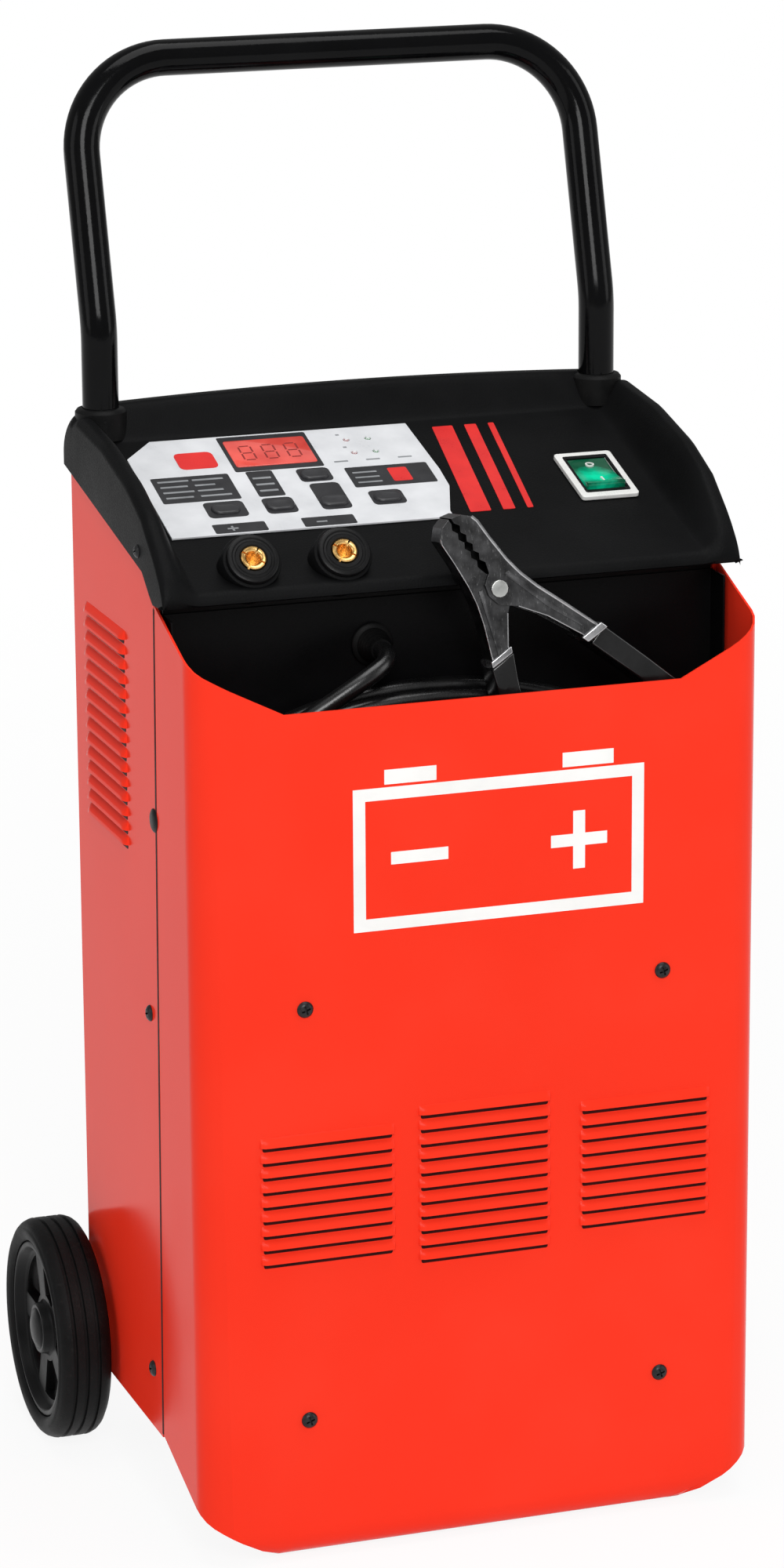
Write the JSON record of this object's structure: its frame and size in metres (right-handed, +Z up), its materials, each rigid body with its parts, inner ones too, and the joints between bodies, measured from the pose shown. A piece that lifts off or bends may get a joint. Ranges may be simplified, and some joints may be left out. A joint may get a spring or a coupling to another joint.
{
  "type": "wheeled battery charger",
  "caption": "Upright wheeled battery charger: sheet-metal cabinet with sloping control console, cable pocket with clamp lead, tube handle and axle wheels.",
  "frame": {"origin": "on the floor, below the middle of the box round the whole charger", "axes": "+X to the user's right, +Y towards the back, +Z up"},
  "size_m": [0.39, 0.2928, 0.7946],
  "materials": {
    "gloss_red_powder_coat_painted_metal": "gloss red powder coat",
    "zinc_plated_brushed_steel": "zinc plated",
    "satin_black_painted_metal": "satin black",
    "textured_black_matte_plastic": "textured black",
    "silver_printed_film_gloss_plastic": "silver printed film",
    "smoked_red_gloss_plastic": "smoked red",
    "clear_gloss_plastic": "clear",
    "white_gloss_plastic": "white",
    "green_solder_mask_gloss_plastic": "green solder mask",
    "satin_black_matte_plastic": "satin black",
    "turned_brass": "turned",
    "gloss_black_painted_metal": "gloss black",
    "varnished_steel_laminations_cast_iron": "varnished steel laminations",
    "enamelled_copper_wire_brass": "enamelled copper wire",
    "extruded_aluminium": "extruded",
    "soft_black_rubber": "soft black",
    "pressed_brushed_steel": "pressed",
    "translucent_green_gloss_plastic": "translucent green",
    "matt_black_tyre": "matt black"
  },
  "bodies": {
    "cabinet": {"front_panel": "gloss_red_powder_coat_painted_metal", "side_panel_left": "gloss_red_powder_coat_painted_metal", "side_panel_right": "gloss_red_powder_coat_painted_metal", "rear_panel": "gloss_red_powder_coat_painted_metal", "base_plate": "zinc_plated_brushed_steel", "component_shelf": "zinc_plated_brushed_steel", "cable_pocket": "satin_black_painted_metal", "console": "textured_black_matte_plastic", "membrane_panel": "silver_printed_film_gloss_plastic", "display_window": "smoked_red_gloss_plastic", "led_light_guide": "clear_gloss_plastic", "switch_housing": "white_gloss_plastic", "control_board": "green_solder_mask_gloss_plastic", "socket_collar_left": "satin_black_matte_plastic", "socket_collar_right": "satin_black_matte_plastic", "socket_insert_left": "turned_brass", "socket_insert_right": "turned_brass", "handle_tube": "gloss_black_painted_metal", "handle_bolt_left": "satin_black_painted_metal", "handle_bolt_right": "satin_black_painted_metal", "axle": "zinc_plated_brushed_steel", "axle_cap_left": "satin_black_matte_plastic", "axle_cap_right": "satin_black_matte_plastic", "front_screw_1": "satin_black_painted_metal", "front_screw_2": "satin_black_painted_metal", "front_screw_3": "satin_black_painted_metal", "front_screw_4": "satin_black_painted_metal", "side_screw_upper_left": "satin_black_painted_metal", "side_screw_lower_left": "satin_black_painted_metal", "side_screw_upper_right": "satin_black_painted_metal", "side_screw_lower_right": "satin_black_painted_metal", "transformer_core": "varnished_steel_laminations_cast_iron", "primary_winding": "enamelled_copper_wire_brass", "secondary_winding": "enamelled_copper_wire_brass", "transformer_strap": "zinc_plated_brushed_steel", "heat_sink": "extruded_aluminium", "rectifier_diode_left": "zinc_plated_brushed_steel", "rectifier_diode_right": "zinc_plated_brushed_steel", "thermal_cutout": "satin_black_matte_plastic", "mains_gland": "satin_black_matte_plastic", "lead_gland": "satin_black_matte_plastic", "lead_start": "soft_black_rubber", "lead_coil": "soft_black_rubber", "lead_end": "soft_black_rubber", "clamp_arm_fixed": "pressed_brushed_steel", "clamp_sleeve_fixed": "satin_black_matte_plastic", "clamp_pin": "zinc_plated_brushed_steel", "clamp_spring": "zinc_plated_brushed_steel"},
    "clamp_jaw": {"clamp_arm_moving": "pressed_brushed_steel", "clamp_sleeve_moving": "satin_black_matte_plastic"},
    "switch": {"switch_rocker": "translucent_green_gloss_plastic"},
    "wheel_left": {"wheel_rim_left": "satin_black_matte_plastic", "tyre_left": "matt_black_tyre"},
    "wheel_right": {"wheel_rim_right": "satin_black_matte_plastic", "tyre_right": "matt_black_tyre"},
    "key_1": {"key_1": "soft_black_rubber"},
    "key_2": {"key_2": "soft_black_rubber"},
    "key_3": {"key_3": "soft_black_rubber"},
    "key_4": {"key_4": "soft_black_rubber"},
    "key_5": {"key_5": "soft_black_rubber"}
  },
  "joints": [
    {"name": "switch_rock", "type": "hinge", "parent": "cabinet", "child": "switch", "pos_m": [0.1123, -0.01375, 0.55759], "axis": [1, 0, 0], "range_deg": [0, 14]},
    {"name": "key_1_press", "type": "slide", "parent": "cabinet", "child": "key_1", "axis": [0, 0.3049, -0.9524], "range_m": [0, 0.001], "stiffness_N_per_m": 300},
    {"name": "key_2_press", "type": "slide", "parent": "cabinet", "child": "key_2", "axis": [0, 0.3049, -0.9524], "range_m": [0, 0.001], "stiffness_N_per_m": 300},
    {"name": "key_3_press", "type": "slide", "parent": "cabinet", "child": "key_3", "axis": [0, 0.3049, -0.9524], "range_m": [0, 0.001], "stiffness_N_per_m": 300},
    {"name": "key_4_press", "type": "slide", "parent": "cabinet", "child": "key_4", "axis": [0, 0.3049, -0.9524], "range_m": [0, 0.001], "stiffness_N_per_m": 300},
    {"name": "key_5_press", "type": "slide", "parent": "cabinet", "child": "key_5", "axis": [0, 0.3049, -0.9524], "range_m": [0, 0.001], "stiffness_N_per_m": 300},
    {"name": "wheel_left_roll", "type": "hinge", "parent": "cabinet", "child": "wheel_left", "pos_m": [-0.1795, 0.08305, 0.0634], "axis": [1, 0, 0], "continuous": true},
    {"name": "wheel_right_roll", "type": "hinge", "parent": "cabinet", "child": "wheel_right", "pos_m": [0.1795, 0.08305, 0.0634], "axis": [1, 0, 0], "continuous": true},
    {"name": "clamp_squeeze", "type": "hinge", "parent": "cabinet", "child": "clamp_jaw", "pos_m": [0.016, -0.11215, 0.5257], "axis": [0, -0.9877, 0.1561], "range_deg": [0, 30], "stiffness_Nm_per_rad": 0.8, "springref_deg": -17.19, "deforming": ["clamp_spring"]}
  ]
}
